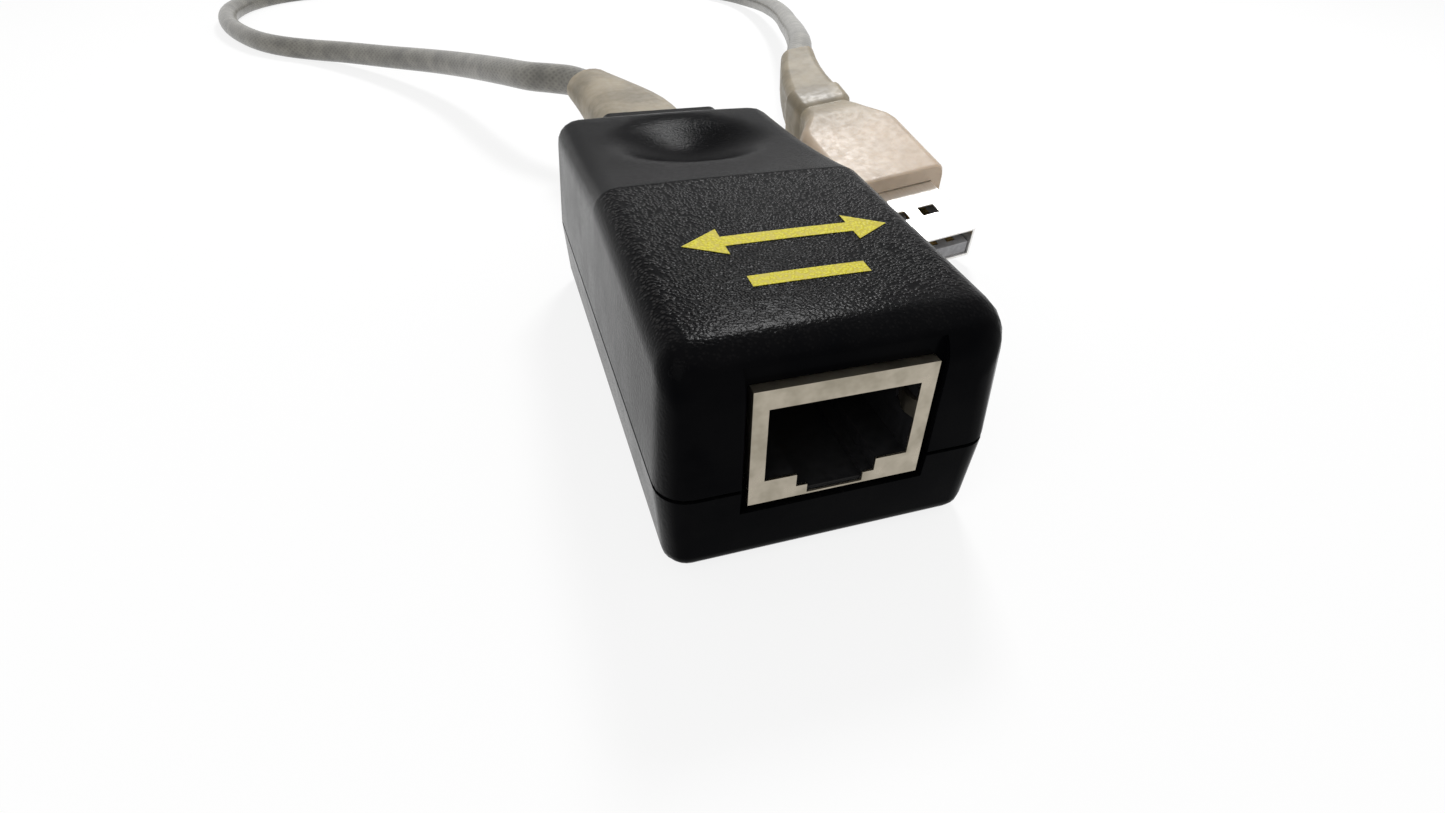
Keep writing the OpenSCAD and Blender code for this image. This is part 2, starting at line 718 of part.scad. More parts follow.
// Insulated wires from the end of the cable's jacket to the board
wire_sides = 8;
wire_out = 0.8;
jacket_out = 2.4;
jacket_face = rear_y - wall - flange_l - jacket_out;
core_spread = 1.05;
drain_d = 0.9;
function wire_path(slot, core) =
    let (x = slot * wire_pitch,
         start = [core[0] * core_spread, jacket_face, boot_z + core[1] * core_spread],
         top = board_h + wire_rise)
    smooth_route([start,
                  start + [(x - start[0]) / 4, -wire_bend, (top - start[2]) / 3],
                  [start[0] / 4 + x * 3 / 4, wire_row + 2 * wire_bend, top],
                  [x, wire_row + wire_bend / 2, top - wire_bend / 2],
                  [x, wire_row, board_h + wire_bend / 2],
                  [x, wire_row, board_h]], 3);
wire_rise = 4;
wire_bend = 1.8;

module wire(slot, core, d, tint) {
    pts = wire_path(slot, core);
    color(tint) {
        skin(tube_rings(pts, d / 2, wire_sides, [1, 0, 0], [0, -1, 0], [0, 0, -1]));
        // The bare end, soldered through the board
        translate([slot * wire_pitch, wire_row, board_foot - wire_out])
            cylinder(h = board_t + wire_out + d / 2, r = wire_hole_r - fit, $fn = 24);
    }
}

module red_wire() { wire(-2, [-1, 1], wire_d, [0.72, 0.10, 0.08]); }
module white_wire() { wire(-1, [-1, -1], wire_d, [0.90, 0.89, 0.86]); }
module green_wire() { wire(0, [1, 1], wire_d, [0.10, 0.45, 0.20]); }
module black_wire() { wire(1, [1, -1], wire_d, [0.08, 0.08, 0.09]); }
module drain_wire() { wire(2, [0, 0], drain_d, [0.75, 0.72, 0.66]); }

module jacket_end() {
    color(clear_grey)
        translate([0, rear_y - wall - flange_l, boot_z]) rotate([90, 0, 0])
            cylinder(h = jacket_out, r = cable_d / 2, $fn = 48);
}

// The boot's centre line bends from the collar to the start of the cable
boot_start = [0, collar_y + boot_fit, boot_z];
boot_end = route[0];
boot_pull_share = 0.72;
boot_lift_share = 0.8;
function boot_point(t) =
    let (mid = [0, boot_start[1] + (boot_end[1] - boot_start[1]) * boot_pull_share,
                boot_start[2] + (boot_end[2] - boot_start[2]) * boot_lift_share])
    boot_start * (1 - t) * (1 - t) + mid * 2 * t * (1 - t) + boot_end * t * t;
function boot_dir(t) = unit(boot_point(min(1, t + 0.02)) - boot_point(max(0, t - 0.02)));
// Half width along a rounded rectangle that turns into a circle
boot_sides = 24;
function squared(c, p) = sign(c) * pow(abs(c), 2 / p);
function boot_ring(t) =
    let (d = t == 0 ? [0, 1, 0] : boot_dir(t),
         up = unit([0, 0, 1] - d * d[2]), side = cross(d, up),
         s = pow(t, 0.85),
         a = boot_w / 2 + (boot_tip_d / 2 - boot_w / 2) * s,
         b = boot_h / 2 + (boot_tip_d / 2 - boot_h / 2) * s,
         p = 4 - 2 * s)
    [for (k = [0 : boot_sides - 1])
        let (g = 360 * k / boot_sides)
        boot_point(t) + side * a * squared(cos(g), p) - up * b * squared(sin(g), p)];
boot_count = 12;

module cable_boot() {
    color(beige) {
        boot_root(0);
        skin([for (i = [0 : boot_count]) boot_ring(i / boot_count)]);
        round_bar(neck_w, collar_y - cut, collar_y + cut, boot_z - neck_h / 2,
                  boot_z + neck_h / 2, boot_corner);
    }
}

cable_sides = 10;
module cable() {
    color(clear_grey)
        skin(tube_rings(smooth_route(concat(route, [plug_end]), 2), cable_d / 2, cable_sides,
                        [0, 0, 1], boot_dir(1), -plug_dir));
}

// Puts a piece drawn along +Y from the plug's mouth where the plug lies
module at_plug() {
    translate([plug_place[0], plug_place[1], plug_z]) rotate([plug_tilt, 0, plug_yaw])
        rotate([0, -plug_roll, 0]) children();
}

// Rounded outline of the grip at y: width w, thickness t, corner radius r
corner_steps = 4;
function grip_ring(y, w, t, r) =
    [for (c = [3, 2, 1, 0]) for (i = [corner_steps : -1 : 0])
        let (a = c * 90 + 90 * i / corner_steps,
             sx = (c == 0 || c == 3) ? 1 : -1,
             sz = c < 2 ? 1 : -1)
        [sx * (w / 2 - r) + r * cos(a) + relief_shift(y), y, sz * (t / 2 - r) + r * sin(a)]];
grip_flare = 0.2;
shoulder_shares = [0.35, 0.6];
relief_steps = 4;

module plug_grip() {
    color(beige)
        at_plug()
            difference() {
                skin(concat(
                    [grip_ring(grip_y, grip_w - grip_lead, grip_t - grip_lead, grip_r),
                     grip_ring(grip_y + grip_lead, grip_w, grip_t, grip_r),
                     grip_ring(shoulder_y - grip_r, grip_w + grip_flare, grip_t, grip_r),
                     grip_ring(shoulder_y, grip_w - grip_lead, grip_t, grip_r),
                     grip_ring(shoulder_y + shoulder_l * shoulder_shares[0], ring_w + grip_r, grip_t,
                               grip_r),
                     grip_ring(shoulder_y + shoulder_l * shoulder_shares[1], ring_w,
                               ring_t + grip_lead, grip_r),
                     grip_ring(ring_y - grip_lead, ring_w - 2 * ring_groove,
                               ring_t - 2 * ring_groove, grip_r),
                     grip_ring(ring_y + grip_lead, ring_w, ring_t, grip_r),
                     grip_ring(relief_y - grip_lead, ring_w, ring_t, grip_r)],
                    [for (i = [0 : relief_steps])
                        grip_ring(relief_y + relief_l * i / relief_steps,
                                  relief_front_w + (relief_end_w - relief_front_w) * i / relief_steps,
                                  relief_front_t + (relief_end_w - relief_front_t) * i / relief_steps,
                                  grip_r)]));
                // The space for the metal shell's root and the inner mould
                bar(plug_w + 2 * fit, grip_y - cut, grip_y + root_l, -plug_t / 2 - fit,
                    plug_t / 2 + fit);
                bar(core_w, grip_y + root_l - fit, grip_y + core_l, -core_t / 2, core_t / 2);
            }
}
root_l = 4;
core_w = 11.2;
core_t = 5.6;
core_l = 13;

module plug_inner_mould() {
    color([0.86, 0.85, 0.80])
        at_plug()
            difference() {
                bar(core_w - 2 * fit, plug_l + root_l + fit, plug_l + core_l - fit,
                    -core_t / 2 + fit, core_t / 2 - fit);
                // A shallow key in each face holds the grip that is moulded over it
                for (sz = [-1, 1])
                    bar(core_w / 2, plug_l + core_l / 2, plug_l + core_l / 2 + grip_r,
                        sz * core_t / 2 - grip_lead, sz * core_t / 2 + grip_lead);
            }
}

// Latch holes in the metal shell, on both faces
hole_front = 5.16;
hole_l = 1.95;
hole_w = 2.5;
hole_x = 2.25;
module plug_shell() {
    color(bright_steel)
        at_plug()
            difference() {
                bar(plug_w, 0, plug_l + root_l, -plug_t / 2, plug_t / 2);
                bar(plug_w - 2 * plug_sheet_t, -cut, plug_l + root_l - plug_sheet_t,
                    -plug_t / 2 + plug_sheet_t, plug_t / 2 - plug_sheet_t);
                for (sx = [-1, 1])
                    bar(hole_w, hole_front, hole_front + hole_l, -plug_t, plug_t, sx * hole_x);
            }
}

tongue_t = 1.84;
tongue_back = 0.4;
block_l = 3.4;
module plug_insulator() {
    foot = -plug_t / 2 + plug_sheet_t + fit / 2;
    inner_w = plug_w - 2 * plug_sheet_t - 2 * fit;
    back = plug_l + root_l - plug_sheet_t - fit / 2;
    color([0.55, 0.55, 0.55])
        at_plug()
            difference() {
                union() {
                    bar(inner_w, tongue_back, back, foot, foot + tongue_t);
                    bar(inner_w, back - block_l, back, foot, -foot);
                }
                for (x = contact_places)
                    bar(contact_w + 2 * fit, contact_front - fit, back - block_l,
                        foot + tongue_t - contact_t, foot + tongue_t + cut, x);
            }
}
contact_front = 1.4;
contact_places = [-contact_outer_x, -contact_inner_x, contact_inner_x, contact_outer_x];

module plug_contacts() {
    foot = -plug_t / 2 + plug_sheet_t + fit / 2;
    back = plug_l + root_l - plug_sheet_t - fit / 2;
    color(gold)
        at_plug()
            for (x = contact_places)
                bar(contact_w, contact_front, back - block_l,
                    foot + tongue_t - contact_t, foot + tongue_t, x);
}

lower_shell();
upper_shell();
circuit_board();
jack_shield();
jack_body();
jack_insert();
jack_contacts();
driver_chip();
regulator();
line_choke();
bulk_capacitor();
ceramic_capacitors();
chip_resistors();
red_wire();
white_wire();
green_wire();
black_wire();
drain_wire();
jacket_end();
cable_boot();
cable();
plug_grip();
plug_inner_mould();
plug_shell();
plug_insulator();
plug_contacts();
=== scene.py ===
# %% [markdown]
# # A small signal adapter with a short lead
#
# The object is a black two-part plastic housing with a metal-framed network socket in front, and
# a clear-jacketed cable behind that comes back in a wide loop to its plug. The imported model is
# loaded first and stays where it is: every piece made here is drawn straight into its place, in
# metres.

import math

import bpy
from mathutils import Matrix, Vector


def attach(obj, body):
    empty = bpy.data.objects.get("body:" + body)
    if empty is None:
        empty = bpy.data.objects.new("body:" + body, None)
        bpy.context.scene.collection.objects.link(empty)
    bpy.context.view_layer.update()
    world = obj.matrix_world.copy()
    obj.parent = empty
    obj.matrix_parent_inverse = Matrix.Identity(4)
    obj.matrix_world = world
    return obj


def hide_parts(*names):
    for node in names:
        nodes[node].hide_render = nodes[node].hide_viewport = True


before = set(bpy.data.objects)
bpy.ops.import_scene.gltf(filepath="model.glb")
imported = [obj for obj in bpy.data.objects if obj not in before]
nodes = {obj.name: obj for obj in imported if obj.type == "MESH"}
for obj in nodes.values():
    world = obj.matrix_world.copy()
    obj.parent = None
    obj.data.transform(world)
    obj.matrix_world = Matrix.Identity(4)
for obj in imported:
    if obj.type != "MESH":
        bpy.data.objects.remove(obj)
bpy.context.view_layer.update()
MM = 0.001

# %% [markdown]
# ## The camera
#
# The photograph is a close-up with a wide lens, held a hand's width from the socket, so near
# edges look large and the rear of the housing shrinks quickly. A lens of 18 mm on a full frame
# gives that. The camera's three axes could be typed as Euler angles; building them from an
# azimuth, an elevation and a small roll keeps each number readable.

# %% Place the camera
camera_place = (-0.02168, -0.06539, 0.04718)
lens_mm, sensor_mm = 18.37, 36
azimuth = math.radians(-18.25)
elevation = math.radians(37.66)
roll = math.radians(1.385)
back = Vector((math.sin(azimuth) * math.cos(elevation),
               -math.cos(azimuth) * math.cos(elevation),
               math.sin(elevation)))
level_right = Vector((math.cos(azimuth), math.sin(azimuth), 0))
level_up = back.cross(level_right)
camera_right = level_right * math.cos(roll) + level_up * math.sin(roll)
camera_up = level_up * math.cos(roll) - level_right * math.sin(roll)

bpy.ops.object.camera_add(location=(0, 0, 0))
camera = bpy.context.object
camera.name = "camera"
camera.data.lens = lens_mm
camera.data.sensor_width = sensor_mm
camera.data.clip_start = 3 * MM
camera.matrix_world = Matrix.Translation(camera_place) @ Matrix(
    (camera_right, camera_up, back)).transposed().to_4x4()
bpy.context.scene.camera = camera
print("camera", [round(v / MM, 1) for v in camera.location])

# %% [markdown]
# ## The plug's own frame
#
# The plug lies on the table on the tip of its metal and the front edge of its grip, so it is
# tilted up by a few degrees. It is also turned a little, and rolled onto its left edge by the
# twist in the cable. Its strain relief bends to the right, and the cable ends where that bend
# ends. So the plug's few sizes, in millimetres, are repeated here to find the cable's last point.

# %% Where the plug lies
plug_yaw = math.radians(3)
plug_roll = math.radians(7)
grip_width, grip_thick, grip_corner, grip_lead = 16, 9.4, 1.6, 0.5
metal_width, metal_thick, metal_length = 12, 4.5, 12
grip_reach = ((grip_width / 2 - grip_corner) * math.sin(plug_roll)
              + (grip_thick / 2 - grip_corner) * math.cos(plug_roll) + grip_corner)
metal_reach = metal_width / 2 * math.sin(plug_roll) + metal_thick / 2 * math.cos(plug_roll)
plug_tilt = math.atan((grip_reach - metal_reach) / (metal_length + grip_lead))
plug_mouth = Vector((34.3, 14.1, metal_reach * math.cos(plug_tilt)))
plug_length = 56
relief_bend = 4
plug_turn = (Matrix.Rotation(plug_yaw, 3, "Z") @ Matrix.Rotation(plug_tilt, 3, "X")
             @ Matrix.Rotation(-plug_roll, 3, "Y"))


def from_plug(x, y, z):
    """A point given from the plug's mouth, in the model's frame, in millimetres."""
    return plug_mouth + plug_turn @ Vector((x, y, z))


plug_end = from_plug(relief_bend, plug_length, 0)
print("plug end", [round(v, 2) for v in plug_end], "tilt", round(math.degrees(plug_tilt), 2))

# %% [markdown]
# ## The cable's route
#
# The cable leaves the boot to the left, sinks to the table, swings round behind the housing and
# rises again to the plug. Its points are the ones that the model's source uses. The first few are
# then let down by a fraction of a millimetre, where the soft boot sags under the cable. A smooth
# curve through them could be drawn as a curve object with a round bevel; here the tube is built
# ring by ring, because the braid under its clear jacket needs a map that runs along the cable and
# round it.

# %% The route in millimetres
route = [
    (-3.2, 66, 14.2), (-5.6, 70.3, 14.2), (-8.6, 74.2, 13.8), (-12.2, 79.6, 13),
    (-16.6, 90.5, 11.4),
    (-22.8, 107, 8.8), (-30, 121.5, 6.8), (-40, 137, 4.8), (-50.5, 150.5, 3.4),
    (-58.5, 158.8, 2.6), (-66, 165, 2.4), (-72.5, 172, 2.4), (-78.5, 182, 2.4),
    (-84, 195, 2.4), (-87.5, 209, 2.4), (-88, 222, 2.4), (-85, 236, 2.4),
    (-77, 248, 2.4), (-62, 256, 2.4), (-40, 261, 2.4), (-15, 262, 2.4), (15, 259, 2.4),
    (41, 251, 2.4), (59, 239, 2.4), (69.5, 222, 2.8), (72.2, 203, 3.8),
    (70.4, 183, 5.6), (66.3, 161, 7.5), (61, 141, 9.2), (55, 122, 10.8),
    (49.8, 106, 12.4), (45.2, 93, 13.8), (41.2, 82, 14.6),
    tuple(plug_end),
]
cable_d = 4.8
cable_sides = 24
steps_per_span = 6
boot_sag = 0.6
sag_reach = 42


def eased(t):
    """A share held between 0 and 1 with soft ends."""
    t = max(0.0, min(1.0, t))
    return t * t * (3 - 2 * t)


def sagged(x, y, z):
    """A point of the route, let down where it lies on the stretch that leaves the boot."""
    near = 1 - eased((y - route[0][1]) / sag_reach) if x < 0 else 0
    return x, y, z - boot_sag * near


def smooth_route(points, steps):
    """Points on the smooth curve through the given ones."""
    made = []
    for i in range(len(points) - 1):
        p0, p1 = Vector(points[max(0, i - 1)]), Vector(points[i])
        p2, p3 = Vector(points[i + 1]), Vector(points[min(len(points) - 1, i + 2)])
        for k in range(steps):
            t = k / steps
            made.append((2 * p1 + (p2 - p0) * t + (2 * p0 - 5 * p1 + 4 * p2 - p3) * t * t
                         + (3 * p1 - p0 - 3 * p2 + p3) * t * t * t) / 2)
    made.append(Vector(points[-1]))
    return made


let_down = [sagged(*point) for point in route]
centre_line = [p * MM for p in smooth_route(let_down, steps_per_span)]


# %% Build the tube
def tube(name, line, radius, sides):
    """A closed round tube along a line of points, with a map along it (u) and round it (v)."""
    verts, faces, runs = [], [], []
    run = 0
    for i, p in enumerate(line):
        along = (line[min(i + 1, len(line) - 1)] - line[max(i - 1, 0)]).normalized()
        side = along.cross(Vector((0, 0, 1))).normalized()
        top = side.cross(along)
        if i:
            run += (p - line[i - 1]).length
        for k in range(sides):
            a = 2 * math.pi * k / sides
            verts.append(p + side * radius * math.cos(a) + top * radius * math.sin(a))
            runs.append(run)
    for i in range(len(line) - 1):
        for k in range(sides):
            n = (k + 1) % sides
            faces.append((i * sides + k, (i + 1) * sides + k,
                          (i + 1) * sides + n, i * sides + n))
    faces.append(tuple(range(sides)))
    faces.append(tuple(reversed(range((len(line) - 1) * sides, len(line) * sides))))
    mesh = bpy.data.meshes.new(name)
    mesh.from_pydata([tuple(v) for v in verts], [], faces)
    layer = mesh.uv_layers.new(name="along_and_round")
    for poly in mesh.polygons:
        corners = [mesh.loops[i].vertex_index for i in poly.loop_indices]
        turns = [corner % sides for corner in corners]
        closes_ring = max(turns) == sides - 1 and min(turns) == 0
        for loop, corner, k in zip(poly.loop_indices, corners, turns):
            turn = sides if closes_ring and k == 0 else k
            layer.data[loop].uv = (runs[corner], turn / sides)
    piece = bpy.data.objects.new(name, mesh)
    bpy.context.scene.collection.objects.link(piece)
    return piece


def select_only(piece):
    """Deselects everything, then selects this piece and makes it active."""
    if bpy.context.object and bpy.context.object.mode != "OBJECT":
        bpy.ops.object.mode_set(mode="OBJECT")
    bpy.ops.object.select_all(action="DESELECT")
    bpy.context.view_layer.objects.active = piece
    piece.select_set(True)


cable = tube("cable_jacket", centre_line, cable_d / 2 * MM, cable_sides)
select_only(cable)
bpy.ops.object.mode_set(mode="EDIT")
bpy.ops.mesh.select_all(action="SELECT")
bpy.ops.mesh.normals_make_consistent(inside=False)
bpy.ops.object.mode_set(mode="OBJECT")
bpy.ops.object.shade_smooth_by_angle(angle=math.radians(50))
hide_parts("cable")
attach(cable, "root")
print("cable rings", len(centre_line), "faces", len(cable.data.polygons))

# %% [markdown]
# ## Pieces that keep the model's shape
#
# The two shells and the metal parts already have their true shape in the model, but every edge
# there is razor sharp. A moulded or folded edge is slightly round and catches a thin line of
# light. A copy of the mesh is merged into one skin, flat neighbours are joined, a small bevel
# rounds the real edges, and weighted normals keep the flat faces flat in the light. Modelling
# these pieces again by hand would only bring in differences.

# %% A merged copy of a node
merge_gap = 0.002 * MM
flat_angle = math.radians(0.2)
real_edge = math.radians(40)


def dressed(node, name, smooth, bevel, segments=2):
    """A merged copy that stands for a node, with its sharp edges rounded by so many
    millimetres, and shaded smooth up to an angle in degrees."""
    piece = nodes[node].copy()
    piece.data = nodes[node].data.copy()
    piece.parent = None
    for key in list(piece.keys()):
        del piece[key]
    piece.name = name
    piece.data.name = name
    bpy.context.scene.collection.objects.link(piece)
    select_only(piece)
    bpy.ops.object.mode_set(mode="EDIT")
    bpy.ops.mesh.select_all(action="SELECT")
    bpy.ops.mesh.remove_doubles(threshold=merge_gap)
    bpy.ops.mesh.dissolve_limited(angle_limit=flat_angle, delimit={"NORMAL"})
    bpy.ops.object.mode_set(mode="OBJECT")
    edge = piece.modifiers.new("soft_edges", "BEVEL")
    edge.width = bevel * MM
    edge.segments = segments
    edge.limit_method = "ANGLE"
    edge.angle_limit = real_edge
    edge.use_clamp_overlap = True
    bpy.ops.object.modifier_apply(modifier=edge.name)
    bpy.ops.object.shade_smooth_by_angle(angle=math.radians(smooth))
    flat = piece.modifiers.new("flat_faces", "WEIGHTED_NORMAL")
    flat.keep_sharp = True
    flat.weight = 100
    bpy.ops.object.modifier_apply(modifier=flat.name)
    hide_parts(node)
    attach(piece, "root")
    print(name, "faces", len(piece.data.polygons))
    return piece


upper = dressed("upper_shell", "upper_housing", smooth=24, bevel=0.12)
lower = dressed("lower_shell", "lower_housing", smooth=24, bevel=0.12)
shield = dressed("jack_shield", "socket_frame", smooth=30, bevel=0.07)
metal_plug = dressed("plug_shell", "metal_plug", smooth=30, bevel=0.1)
grip = dressed("plug_grip", "plug_grip_moulding", smooth=75, bevel=0.3, segments=3)
boot = dressed("cable_boot", "boot_moulding", smooth=50, bevel=0.12)

# %% [markdown]
# ## A sagging boot and a deeper thumb dimple
#
# The model's boot is stiff and full. The real one is soft: its top sinks towards the cable, and
# its right side bulges where it bends. The thumb dimple also looks deeper in the light than the
# model has it. Both are small moves of points that are already there, faded in and out smoothly,
# so no new faces are needed.

# %% Move the points
boot_from, boot_to, boot_axis_z = 31, 66, 14.2
boot_thinning = 0.3
boot_bulge, left_share = 2.2, 0.3
for vert in boot.data.vertices:
    x, y, z = vert.co / MM
    share = eased((y - boot_from) / (boot_to - boot_from))
    z = boot_axis_z + (z - boot_axis_z) * (1 - boot_thinning * share) - boot_sag * share
    x += boot_bulge * 4 * share * (1 - share) * (1 if x > 0 else left_share)
    vert.co = Vector((x, y, z)) * MM

dimple_centre, dimple_radius, dimple_extra = Vector((0, 14.5)), 8.8, 0.85
roof_from = 18
for vert in upper.data.vertices:
    x, y, z = vert.co / MM
    if z > roof_from:
        far = (Vector((x, y)) - dimple_centre).length / dimple_radius
        vert.co.z -= dimple_extra * MM * max(0.0, 1 - far * far) ** 2
print("boot let down by", boot_sag, "mm, dimple deepened by", dimple_extra, "mm")

# %% [markdown]
# ## A printed mark on the roof
#
# The roof carries a short yellow print in two rows. A plain double arrow over a short bar takes
# its place: it says no more than that a signal passes through. Pad-printed ink is a film that
# follows the grain and the curve of the roof, so the mark is drawn flat, cut into small faces,
# dropped onto the roof with a shrinkwrap, and given a hair of thickness. An image on a map would
# also work, but thin geometry needs no map.

# %% Draw the mark flat
front_y = -28.3
drawn_at = 30
stroke_half = 0.75
arrow_left, arrow_right, arrow_y = -8.2, 9.8, front_y + 15.2
head_length, head_half = 3.4, 2.1
bar_left, bar_right, bar_y = -4.6, 5.0, front_y + 8.9


def flat_outline(name, points):
    """A flat many-sided face through points in millimetres, lying above the roof."""
    mesh = bpy.data.meshes.new(name)
    mesh.from_pydata([(x * MM, y * MM, drawn_at * MM) for x, y in points], [],
                     [tuple(range(len(points)))])
    made = bpy.data.objects.new(name, mesh)
    bpy.context.scene.collection.objects.link(made)
    return made


def arrow(x0, x1, y):
    """The outline of a double-headed arrow from x0 to x1, counter-clockwise."""
    right = [(x1 - head_length, y - stroke_half), (x1 - head_length, y - head_half), (x1, y),
             (x1 - head_length, y + head_half), (x1 - head_length, y + stroke_half)]
    left = [(x0 + head_length, y + stroke_half), (x0 + head_length, y + head_half), (x0, y),
            (x0 + head_length, y - head_half), (x0 + head_length, y - stroke_half)]
    return right + left


def bar(x0, x1, y):
    """The outline of a plain bar from x0 to x1, counter-clockwise."""
    return [(x0, y - stroke_half), (x1, y - stroke_half),
            (x1, y + stroke_half), (x0, y + stroke_half)]


mark = flat_outline("roof_mark", arrow(arrow_left, arrow_right, arrow_y))
second_row = flat_outline("mark_bar", bar(bar_left, bar_right, bar_y))
select_only(mark)
second_row.select_set(True)
bpy.ops.object.join()
bpy.ops.object.mode_set(mode="EDIT")
bpy.ops.mesh.select_all(action="SELECT")
bpy.ops.mesh.quads_convert_to_tris()
bpy.ops.object.mode_set(mode="OBJECT")
print("mark faces", len(mark.data.polygons))

# %% Drop it onto the roof
ink_gap, ink_thickness = 0.02, 0.03


def cut_evenly(normal, start, width, cuts):
    """Cuts the piece in edit mode across a direction, at even steps in millimetres."""
    for k in range(cuts):
        place = (start + k * width / cuts) * MM
        bpy.ops.mesh.select_all(action="SELECT")
        bpy.ops.mesh.bisect(plane_co=Vector(normal) * place, plane_no=normal)


select_only(mark)
bpy.ops.object.mode_set(mode="EDIT")
cut_evenly((1, 0, 0), start=-9, width=20, cuts=60)
cut_evenly((0, 1, 0), start=front_y + 6, width=12, cuts=28)
bpy.ops.object.mode_set(mode="OBJECT")
wrap = mark.modifiers.new("drop", "SHRINKWRAP")
wrap.target = upper
wrap.wrap_method = "PROJECT"
wrap.use_project_z = True
wrap.use_negative_direction = True
wrap.use_positive_direction = False
wrap.offset = ink_gap * MM
bpy.ops.object.modifier_apply(modifier=wrap.name)
film = mark.modifiers.new("film", "SOLIDIFY")
film.thickness = ink_thickness * MM
film.offset = 1
bpy.ops.object.modifier_apply(modifier=film.name)
bpy.ops.object.shade_smooth_by_angle(angle=math.radians(30))
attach(mark, "root")
heights = [v.co.z / MM for v in mark.data.vertices]
print("mark faces", len(mark.data.polygons),
      "heights", round(min(heights), 2), round(max(heights), 2))

# %% [markdown]
# ## Helpers for the finishes
#
# Every finish is built from nodes on Object coordinates, which are millimetre-true here because
# each piece sits at the origin. A few short helpers keep the node graphs readable: they add a node
# and fill its inputs, do arithmetic, blend colours, and turn a value into a bump.


# %% Node helpers
def finish(name, roughness=0.5, metallic=0.0):
    """A new material; returns it with its node tree and its main shader."""
    made = bpy.data.materials.new(name)
    made.use_nodes = True
    tree = made.node_tree
    main = tree.nodes["Principled BSDF"]
    main.inputs["Roughness"].default_value = roughness
    main.inputs["Metallic"].default_value = metallic
    return made, tree, main


def put(tree, socket, value):
    """Links another node's output to a socket, or sets the socket to a plain value."""
    if isinstance(value, bpy.types.NodeSocket):
        tree.links.new(value, socket)
    else:
        socket.default_value = value


def fill(tree, node, **inputs):
    """Links or sets a node's inputs by name."""
    for key, value in inputs.items():
        put(tree, node.inputs[key.replace("_", " ")], value)


def add(tree, kind, **inputs):
    """A new node with its inputs filled."""
    made = tree.nodes.new(kind)
    fill(tree, made, **inputs)
    return made


def maths(tree, operation, *values, kind="ShaderNodeMath"):
    """The result of one operation on one or more values."""
    made = tree.nodes.new(kind)
    made.operation = operation
    for socket, value in zip(made.inputs, values):
        put(tree, socket, value)
    return made.outputs[0]


def times(tree, first, second):
    """The product of two values."""
    return maths(tree, "MULTIPLY", first, second)


def split(tree, vector):
    """A vector's three numbers, by the name of their axis."""
    return add(tree, "ShaderNodeSeparateXYZ", Vector=vector).outputs


def between(tree, value, low, high, out_low=0.0, out_high=1.0):
    """A value carried smoothly from one range to another, and held at its ends."""
    made = add(tree, "ShaderNodeMapRange", Value=value, From_Min=low, From_Max=high,
               To_Min=out_low, To_Max=out_high)
    made.interpolation_type = "SMOOTHSTEP"
    return made.outputs["Result"]


def blend(tree, share, first, second):
    """A colour between two, by a share."""
    made = tree.nodes.new("ShaderNodeMix")
    made.data_type = "RGBA"
    put(tree, made.inputs[0], share)
    for socket, colour in ((made.inputs[6], first), (made.inputs[7], second)):
        put(tree, socket, (*colour, 1) if isinstance(colour, tuple) else colour)
    return made.outputs[2]


def noise(tree, place, scale, detail=2.0, roughness=0.5):
    """A soft random value with so many features to the metre."""
    return add(tree, "ShaderNodeTexNoise", Vector=place, Scale=scale, Detail=detail,
               Roughness=roughness).outputs["Fac"]


def stretched(tree, place, scale):
    """Coordinates scaled differently along each axis, which draws a noise out into lines."""
    return add(tree, "ShaderNodeMapping", Vector=place, Scale=scale).outputs["Vector"]


def bump(tree, height, depth, strength=1.0, under=None):
    """A normal that stands for a height times a depth in millimetres."""
    made = add(tree, "ShaderNodeBump", Height=height, Distance=depth * MM, Strength=strength)
    if under is not None:
        put(tree, made.inputs["Normal"], under)
    return made.outputs["Normal"]


def object_place(tree):
    """Object coordinates."""
    return tree.nodes.new("ShaderNodeTexCoord").outputs["Object"]


def use(look, *pieces):
    """Gives pieces, or nodes by name, this finish alone."""
    for piece in pieces:
        piece = nodes[piece] if isinstance(piece, str) else piece
        piece.data.materials.clear()
        piece.data.materials.append(look)


# %% [markdown]
# ## Black housing plastic
#
# The mould was etched with a pebble grain. It is coarse on the tall flat roof, about 0.3 mm from
# bump to bump, and finer and shallower on the low rear part and the walls, while the front face
# is nearly smooth. The coarse grain also fades out towards the roof's front roll. One material
# covers the housing: the pebbles are rounded cells pushed out of line by a noise, because bare
# noise looks like crumpled foil and bare cells like tiles. Their depth follows where a point lies
# and which way it faces. The plastic is almost black, so what shows the grain is how the bumps
# catch light, helped by a painted highlight: the crowns of the coarse pebbles are painted paler.

# %% Black plastic
crest_y = -1.3
pebble_scale, pebble_depth = 3200.0, 0.04
fine_scale, fine_depth = 3900, 0.013
push_scale, push = 1500.0, 0.16 * MM
# The third colour is a painted highlight, laid on the crowns of the coarse pebbles as glints.
darkest, dark, painted_glint = (0.0014, 0.0015, 0.002), (0.003, 0.003, 0.0034), (0.029, 0.027, 0.026)


def pebble_cells(tree, place):
    """The distance from the middle of the nearest cell, and the rounded pebble it makes."""
    distance = add(tree, "ShaderNodeTexVoronoi", Vector=place,
                   Scale=pebble_scale).outputs["Distance"]
    return distance, between(tree, distance, 0.12, 0.72, 1.0, 0.0)


black, tree, main = finish("black_plastic")
place = object_place(tree)
facing = split(tree, tree.nodes.new("ShaderNodeNewGeometry").outputs["Normal"])
at = split(tree, place)
upward = between(tree, facing["Z"], 0.55, 0.9)
not_front = between(tree, facing["Y"], -0.9, -0.5)
tall = between(tree, at["Y"], (crest_y + 0.3) * MM, (crest_y - 0.5) * MM)
roof = times(tree, upward, tall)
off_roll = between(tree, at["Y"], (front_y + 1.5) * MM, (front_y + 7.5) * MM, 0.15, 1.0)
coarse = times(tree, roof, off_roll)

